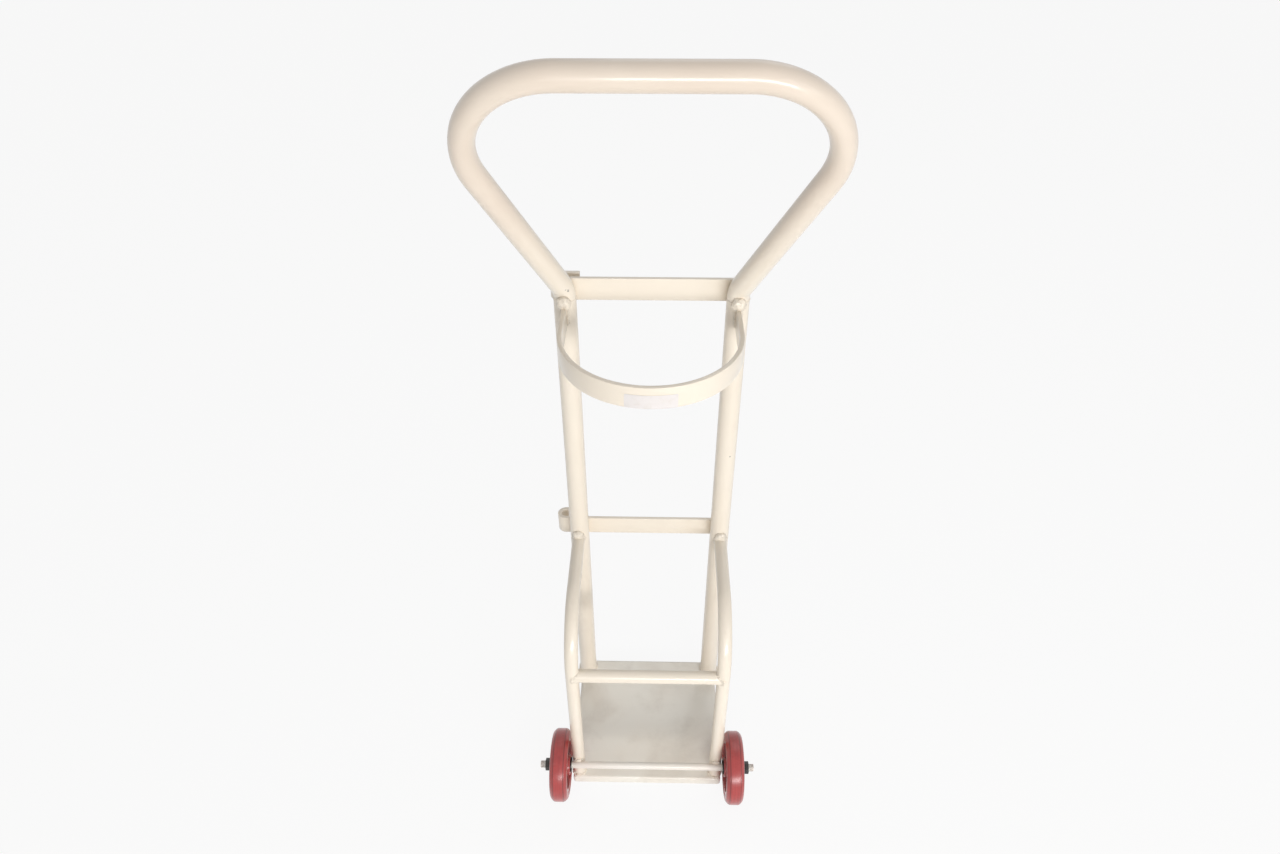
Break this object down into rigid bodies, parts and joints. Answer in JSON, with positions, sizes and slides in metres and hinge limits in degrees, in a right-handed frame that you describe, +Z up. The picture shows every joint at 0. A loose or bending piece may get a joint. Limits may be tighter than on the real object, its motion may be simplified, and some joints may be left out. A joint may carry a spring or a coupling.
{
  "type": "gas cylinder trolley",
  "caption": "Welded tube trolley for a gas cylinder, with a leaning handle bow, a hoop, crossbars with side hooks, a folded base tray and wheels on an axle in front of the legs.",
  "frame": {"origin": "on the floor, under the middle of the overall box", "axes": "+Z up, +X to the right for the user, +Y away from the user, from the wheels towards the uprights"},
  "size_m": [0.3534, 0.27, 0.9695],
  "materials": {
    "enamel": "gloss cream enamel on steel",
    "tyre_red": "maroon rubber, slightly dusty",
    "wheel_red": "maroon moulded plastic",
    "steel": "dulled zinc-plated steel"
  },
  "bodies": {
    "frame": {"base_tray": "enamel", "left_upright": "enamel", "right_upright": "enamel", "handle_bow": "enamel", "upper_crossbar": "enamel", "lower_crossbar": "enamel", "cylinder_hoop": "enamel", "left_leg": "enamel", "right_leg": "enamel", "front_cross_tube": "enamel", "hoop_welds": "enamel", "leg_welds": "enamel", "axle_rod": "enamel", "inner_washers": "steel", "outer_washers": "steel", "axle_nuts": "steel"},
    "left_wheel": {"left_tyre": "tyre_red", "left_wheel_centre": "wheel_red", "left_bush": "steel"},
    "right_wheel": {"right_tyre": "tyre_red", "right_wheel_centre": "wheel_red", "right_bush": "steel"}
  },
  "joints": [
    {"name": "left_wheel_spin", "type": "hinge", "parent": "frame", "child": "left_wheel", "pos_m": [-0.1194, -0.08703, 0.048], "axis": [1, 0, 0], "continuous": true},
    {"name": "right_wheel_spin", "type": "hinge", "parent": "frame", "child": "right_wheel", "pos_m": [0.1194, -0.08703, 0.048], "axis": [1, 0, 0], "continuous": true}
  ]
}
